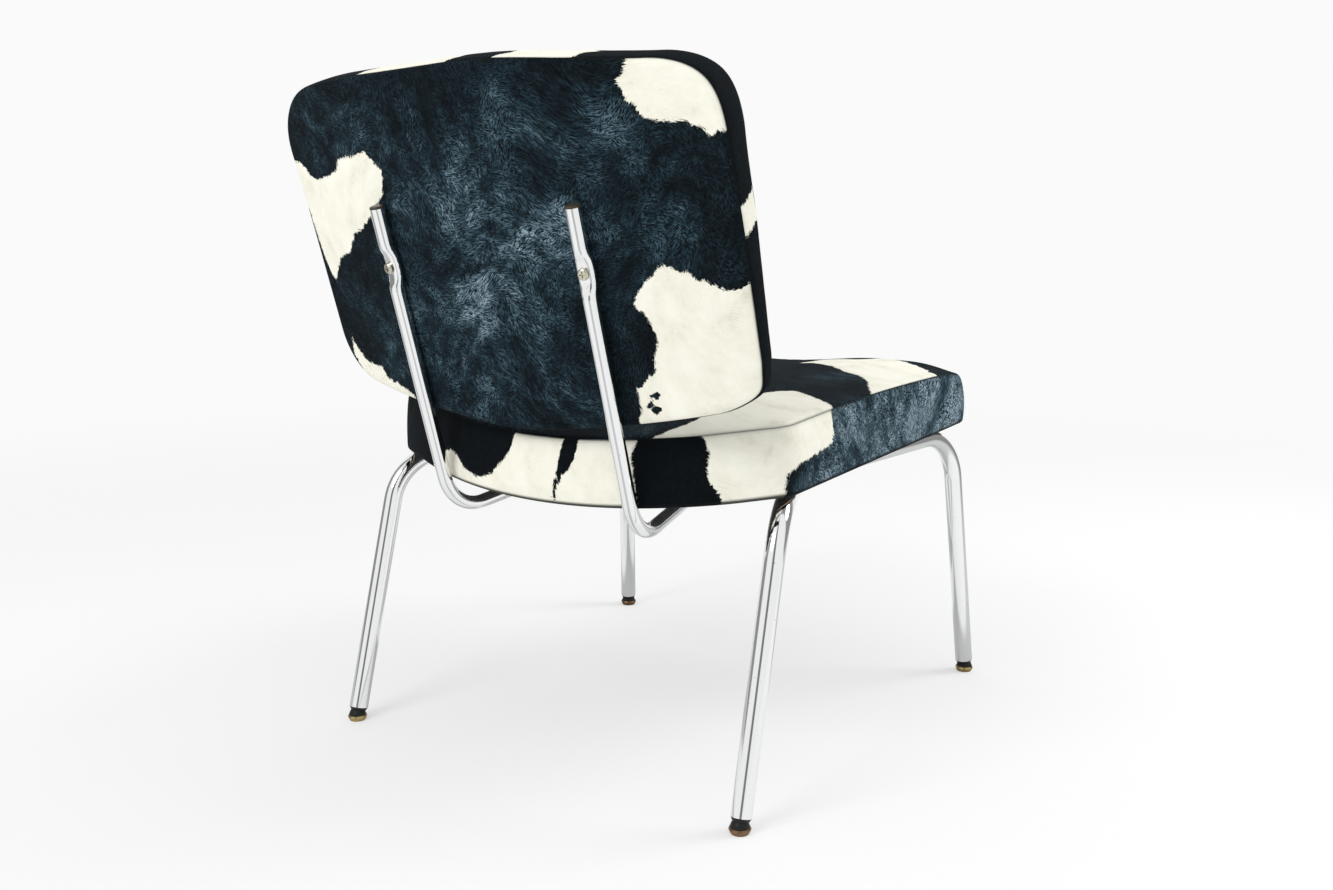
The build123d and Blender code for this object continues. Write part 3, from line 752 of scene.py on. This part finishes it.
SEAT_SHAPE = (SEAT_HALF, SEAT_REAR, SEAT_REAR_R, SEAT_REAR_CORNER_R,
              SEAT_FRONT, bow_radius(SEAT_HALF, SEAT_FRONT_BOW), SEAT_FRONT_CORNER_R)
# Each ring: inset, and height above the board, above the hem, as a share of the band, or below the top; a
# seam ring's third number is painted shade in its crease.
SEAT_INNER = [(COVER_T, 12.6), (COVER_T, 5.0)]
SEAT_HEM = [(5.0, 0.4), (2.6, 0.0), (1.0, 1.0)]
SEAT_BAND = [(0.0, 0.045), (-0.2, 0.08), (-0.5, 0.16), (-1.0, 0.35), (-1.1, 0.55), (-0.7, 0.75), (0.2, 0.90),
             (0.8, 0.96)]
SEAT_SEAM = [(1.5, -5.4, 0.15), (2.2, -4.5, 0.8), (2.6, -3.4, 0.2)]
SEAT_ROLL = [(4.4, -1.9), (7.5, -0.9), (13.0, -0.3)]
SEAT_BAND_TOP = 6.0

# Patches as corners on the top, then as distance round the seat and height on the side
SEAT_WHITE = [
    [(-128, -20), (-148, -46), (-160, -82), (-165, -135), (-168, -175), (-167, -214), (-176, -236),
     (-192, -247), (-223, -229), (-245, -215), (-261, -206), (-310, -190), (-310, -20)],
    [(-82, -464), (-98, -468), (-144, -438), (-176, -407), (-200, -391), (-228, -360), (-261, -300),
     (-310, -300), (-310, -488), (-253, -490), (-207, -550), (-162, -572), (-119, -553), (-89, -506)],
]
SEAT_SIDE_WHITE = [
    [(-20, 110), (-20, 61), (-22, 53), (-25, 39), (-31, 28), (-46, 18), (-51, 9), (-63, 4), (-80, 0),
     (-93, 3), (-107, 10), (-113, 17), (-125, 24), (-139, 25), (-146, 10), (-150, -40), (130, -40), (128, 22),
     (124, 32), (126, 44), (132, 57), (132, 110)],
    [(195, 110), (200, 64), (205, 61), (208, 49), (204, 34), (207, 14), (218, 4), (222, -40), (284, -40),
     (282, -2), (285, 8), (283, 18), (287, 25), (305, 32), (337, 36), (364, 39), (387, 44), (381, 59),
     (386, 71), (384, 110)],
]
SEAT_STRIPE = [(47, 110), (65, 110), (64, 56), (61, 39), (56, 26), (46, 19), (44, 11), (37, 2), (34, -14),
               (33, -40), (26, -40), (28, -13), (33, 6), (38, 22), (41, 38), (46, 56)]
# Ovals on the unseen parts: middle and half widths
SEAT_MORE_WHITE = [(100, -395, 92, 96), (60, -140, 62, 66), (255, -180, 62, 76), (200, -530, 58, 40)]
SEAT_SIDE_MORE = [(-390, 85, 70, 55), (-610, 70, 60, 60), (-830, 20, 50, 50), (1010, 80, 70, 60),
                  (1180, 20, 60, 50)]


def rear_dip(x, y, from_y, to_y):
    """0 to 1: how much of the rear edge's sag is felt at a point."""
    return np.clip(1 - ((x - SKIRT_MID) / SKIRT_HALF) ** 2, 0, 1) * step(from_y, to_y, y)


def perimeter():
    """Distance round the seat from the middle of its rear edge, above zero towards the right side."""
    rim = ring(SEAT_SHAPE, 0)
    gaps = np.linalg.norm(np.roll(rim, -1, 0) - rim, axis=1)
    at = np.concatenate([[0], np.cumsum(gaps)[:-1]])
    rear = np.argmin(np.abs(rim[:, 0]) - rim[:, 1])
    whole = gaps.sum()
    return (at - at[rear] + whole / 2) % whole - whole / 2


def seat_points(x, y, z):
    along = np.array([0, math.cos(SEAT_SLOPE), -math.sin(SEAT_SLOPE)])
    out = np.array([0, math.sin(SEAT_SLOPE), math.cos(SEAT_SLOPE)])
    points = np.array(SEAT_ORIGIN) + x[:, None] * (1, 0, 0) + y[:, None] * along + z[:, None] * out
    return points * MM


def seat_cushion():
    rings = SEAT_INNER + SEAT_HEM + SEAT_BAND + SEAT_SEAM + SEAT_ROLL
    flat, rows, faces = closed_form(SEAT_SHAPE, SEAT_UNDER_INSET, [r[0] for r in rings], SEAT_OVER_INSET)
    x, y = flat[:, 0].copy(), flat[:, 1].copy()
    count = len(rings)
    first_band = len(SEAT_INNER + SEAT_HEM)
    first_seam = first_band + len(SEAT_BAND)
    under, over = rows == -1, rows == count
    across = np.abs(x)
    top = SEAT_CROWN - (x**2 + (y - SEAT_CROWN_Y) ** 2) / (2 * SEAT_CROWN_R)
    top += SEAT_EDGE_LIFT * (x / SEAT_HALF) ** 2 - REAR_SAG * rear_dip(x, y, -190, -20)
    # The front edge is a little hollow between its corners, as in the photo.
    hollow = FRONT_HOLLOW * step(10, 150, across) - FRONT_DROP - FRONT_OUTER_DROP * step(190, 262, across)
    top += hollow * (1 - step(-560, -330, y)) - FRONT_CORNER_DROP * hill(across, y, 262, -575, 30)
    hem = -SKIRT_DROP * rear_dip(x, y, -150, -60)
    room = SEAT_FILLED * step(0, 60, SEAT_HALF - across)
    z = np.where(under, SEAT_BOARD_TOP, top - room + SEAT_LUMP * waves(x, y, 150, seed=31))
    # Painted shade in the top seam's crease, from a seam ring's third number
    crease_shade = np.zeros(len(x))
    for row, numbers in enumerate(rings):
        here = rows == row
        height = numbers[1]
        if row < len(SEAT_INNER):
            z[here] = height
        elif row < first_band:
            z[here] = hem[here] + height
        elif row < first_seam:
            z[here] = hem[here] + height * (top[here] - SEAT_BAND_TOP - hem[here])
        else:
            z[here] = top[here] + height
        if len(numbers) > 2:
            crease_shade[here] = numbers[2]
    # The sides lean in towards the top, and tuck in under the hem so that they clear the back tubes.
    lean = SEAT_LEAN * np.maximum(z, 0) + SEAT_TUCK * np.maximum(-z, 0)
    inward = ring(SEAT_SHAPE, 1) - ring(SEAT_SHAPE, 0)
    inward /= np.linalg.norm(inward, axis=1)[:, None]
    around = perimeter()
    s = np.zeros(len(x))
    for row in range(count):
        s[rows == row] = around
    below_seam = np.exp(-(((top - z) - PUCKER_DEPTH) / PUCKER_REACH) ** 2)
    pucker = SEAT_PUCKER * waves(s, 0.4 * z, 24, seed=33) * below_seam
    bulge = SEAT_BULGE * (1 - step(-160, -70, y)) * np.sin(np.pi * np.clip(z / np.maximum(top, 1), 0, 1))
    for row in range(count):
        here = rows == row
        push = lean[here] + np.where(row < first_band, 0, pucker[here] - bulge[here])
        x[here] += inward[:, 0] * push
        y[here] += inward[:, 1] * push
    squeeze = (SEAT_HALF - SEAT_LEAN * SEAT_CROWN) / SEAT_HALF
    middle = (SEAT_REAR + SEAT_FRONT) / 2
    x[over] *= squeeze
    y[over] = middle + (y[over] - middle) * squeeze
    made = make_object("seat_cushion", seat_points(x, y, z), faces, hide)

    on_top = np.maximum(any_of(x, y, SEAT_WHITE), blots(x, y, SEAT_MORE_WHITE, 60))
    on_side = np.maximum(any_of(s, z, SEAT_SIDE_WHITE), blots(s, z, SEAT_SIDE_MORE, 70))
    on_side = np.minimum(on_side, -STRIPE_EDGE * inside(s, z, SEAT_STRIPE))
    is_top = rows > first_seam + 1
    give(made, "white", np.where(is_top, on_top, np.where(under, ALL_DARK, on_side)))
    # Painted sheen: strong on the right side band, more towards its front, faint elsewhere on the band, and
    # lumpy on the top
    right_side = step(270, 330, s) * (1 - step(900, 960, s))
    sheen_side = 0.04 + right_side * (0.42 + 0.1 * step(420, 700, s))
    sheen_top = 0.14 + 0.06 * waves(x, y, 160, seed=35)
    give(made, "painted_sheen", np.where(is_top, sheen_top, sheen_side))
    # Painted shade: near black on the rings hidden under the seat and along the hem
    hidden = ~under & (rows < first_band)
    give(made, "crease_shade", np.where(hidden, HIDDEN_SHADE, np.where(rows == first_band, HEM_SHADE, crease_shade)))
    side_z = z + SEAT_SIDE_FLOW * waves(s, z, 200, seed=36, count=4)
    side_s = s + SEAT_SIDE_FLOW * waves(s, z, 180, seed=37, count=4)
    top_x = x + SEAT_TOP_FLOW * waves(x, y, 260, seed=38, count=4)
    top_y = y + SEAT_TOP_FLOW * waves(x, y, 240, seed=39, count=4)
    flow_side = np.stack([side_z, side_s, 0 * s], 1)
    flow_top = np.stack([top_x, top_y, 0 * s + 300], 1)
    give(made, "flow", np.where(is_top[:, None], flow_top, flow_side) * MM)
    free_band = (rows >= first_band) & (rows < first_seam) & (y < -90)
    swell(made, np.where(over, 0.0, np.where(free_band, 0.6, 1.0)), SEAT_SWELL * MM)
    return made


def dust_cover():
    """The black lining stapled under the seat board, drawn tight with faint ripples from the staples."""
    flat, _ = panel(SEAT_SHAPE, SHEET_INSET)
    x, y = flat[:, 0], flat[:, 1]
    ripple = SHEET_HEIGHT + SHEET_RIPPLE * waves(x, y, 70, seed=41)
    return make_object("dust_sheet", seat_points(x, y, ripple), grid_faces(0, True), lining)


back = back_cushion()
seat = seat_cushion()
sheet = dust_cover()

for cushion in (back, seat):
    smooth = cushion.modifiers.new("smooth", "SUBSURF")
    smooth.levels = 1
    smooth.render_levels = 1
    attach(cushion, "chair")
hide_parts("back_rear_panel", "back_side_band", "back_front_panel", "back_foam")
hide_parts("seat_top_panel", "seat_side_band", "seat_foam")
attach(sheet, "chair")
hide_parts("seat_dust_cover")


# Floor, light and camera.

PAPER = (0.955, 0.955, 0.955, 1)
AMBIENT = (0.74, 0.745, 0.75, 1)
FLOOR_TONE = (0.93, 0.93, 0.925, 1)
FLOOR_RINGS = [0.6, 1.2, 2.0, 3.5, 6.0, 12.0, 30.0]
FLOOR_STEPS = 96
LAMP_AIM = (0, 0, 0.3)
LAMP_SIZE = 1.2
# Dark hangings, which give the chrome its dark lines: heading and half width in degrees, and the light left.
HANGINGS = [(20, 16, 0.3), (112, 5, 0.2), (236, 18, 0.3), (305, 14, 0.25)]
HANGING_EDGE = 10


def hangings(tree, x, y, reach):
    """1 where a mirror sees the pale studio, less where it sees a hanging."""
    clear = 1.0
    for heading, half, left in HANGINGS:
        east = math_node(tree, "MULTIPLY", x, math.cos(math.radians(heading)))
        facing = math_node(tree, "MULTIPLY_ADD", y, math.sin(math.radians(heading)), east)
        facing = math_node(tree, "DIVIDE", facing, reach)
        inner, outer = math.cos(math.radians(half)), math.cos(math.radians(half + HANGING_EDGE))
        clear = math_node(tree, "MULTIPLY", clear, ranged(tree, facing, outer, inner, 1.0, left))
    return clear


def level_reach(tree, x, y):
    return math_node(tree, "SQRT", math_node(tree, "MULTIPLY_ADD", x, x, math_node(tree, "MULTIPLY", y, y)))


def split(tree, vector):
    node = tree.nodes.new("ShaderNodeSeparateXYZ")
    tree.links.new(vector, node.inputs[0])
    return node.outputs[0], node.outputs[1]


def shown(tree, path):
    """1 for rays that show the studio itself, not its light."""
    plain = math_node(tree, "MAXIMUM", path.outputs["Is Camera Ray"], path.outputs["Is Transmission Ray"])
    return math_node(tree, "MAXIMUM", plain, path.outputs["Is Glossy Ray"])


def either(tree, amount, first, second):
    node = tree.nodes.new("ShaderNodeMixShader")
    tree.links.new(amount, node.inputs[0])
    tree.links.new(first, node.inputs[1])
    tree.links.new(second, node.inputs[2])
    return node.outputs[0]


def paper(tree, kind, path, clear):
    """The pale studio, with its hangings where a mirror sees it."""
    node = tree.nodes.new(kind)
    node.inputs["Color"].default_value = PAPER
    strength = mixed(tree, path.outputs["Is Glossy Ray"], (1, 1, 1), clear)
    tree.links.new(strength, node.inputs["Strength"])
    return node.outputs[0]


world = bpy.data.worlds.new("studio")
bpy.context.scene.world = world
world.use_nodes = True
tree = world.node_tree
tree.nodes.clear()
path = tree.nodes.new("ShaderNodeLightPath")
east, north = split(tree, tree.nodes.new("ShaderNodeTexCoord").outputs["Generated"])
clear = hangings(tree, east, north, level_reach(tree, east, north))
ambient = tree.nodes.new("ShaderNodeBackground")
ambient.inputs["Color"].default_value = AMBIENT
backdrop = paper(tree, "ShaderNodeBackground", path, clear)
world_look = either(tree, shown(tree, path), ambient.outputs[0], backdrop)
tree.links.new(world_look, tree.nodes.new("ShaderNodeOutputWorld").inputs[0])

floor_points = [(0.0, 0.0, 0.0)]
floor_faces = []
floor_angles = turn(0, 2 * math.pi, FLOOR_STEPS + 1)[:-1]
for reach in FLOOR_RINGS:
    floor_points += [(px, py, 0.0) for px, py in arc(0, 0, reach, floor_angles).tolist()]
for k in range(FLOOR_STEPS):
    nxt = (k + 1) % FLOOR_STEPS
    floor_faces.append((0, 1 + k, 1 + nxt))
    for level in range(len(FLOOR_RINGS) - 1):
        a, b = 1 + level * FLOOR_STEPS, 1 + (level + 1) * FLOOR_STEPS
        floor_faces.append((a + k, b + k, b + nxt, a + nxt))

floor_look, tree, shader = new_material("pale_floor")
shader.inputs["Base Color"].default_value = FLOOR_TONE
shader.inputs["Roughness"].default_value = 0.9
shader.inputs["Specular IOR Level"].default_value = 0.1
path = tree.nodes.new("ShaderNodeLightPath")
east, north = split(tree, object_place(tree))
away = level_reach(tree, east, north)
lifted = math_node(tree, "MULTIPLY", shown(tree, path), ranged(tree, away, 0.7, 3.0, 0.5, 1.0))
clear = hangings(tree, east, north, math_node(tree, "MAXIMUM", away, 0.01))
floor_paper = paper(tree, "ShaderNodeEmission", path, clear)
floor_surface = either(tree, lifted, shader.outputs[0], floor_paper)
tree.links.new(floor_surface, tree.nodes["Material Output"].inputs["Surface"])
floor = make_object("floor", floor_points, floor_faces, floor_look)


def lamp(name, at, power):
    data = bpy.data.lights.new(name, "AREA")
    data.shape = "DISK"
    data.size = LAMP_SIZE
    data.energy = power
    made = bpy.data.objects.new(name, data)
    made.location = at
    gap = np.array(LAMP_AIM) - np.array(at)
    made.rotation_euler = (math.acos(-gap[2] / np.linalg.norm(gap)), 0, math.atan2(-gap[0], gap[1]))
    bpy.context.scene.collection.objects.link(made)


lamp("key", (0.35, 2.0, 1.9), 22.0)
lamp("fill", (-1.5, -1.5, 1.9), 26.0)

camera_data = bpy.data.cameras.new("camera")
camera_data.lens = LENS
camera_data.sensor_width = SENSOR
camera = bpy.data.objects.new("camera", camera_data)
camera.location = CAMERA_AT
camera.rotation_euler = (math.radians(90 - PHOTO_ELEVATION), 0, math.radians(PHOTO_AZIMUTH))
bpy.context.scene.collection.objects.link(camera)
bpy.context.scene.camera = camera
bpy.context.scene.view_settings.view_transform = "Standard"

bpy.context.view_layer.update()
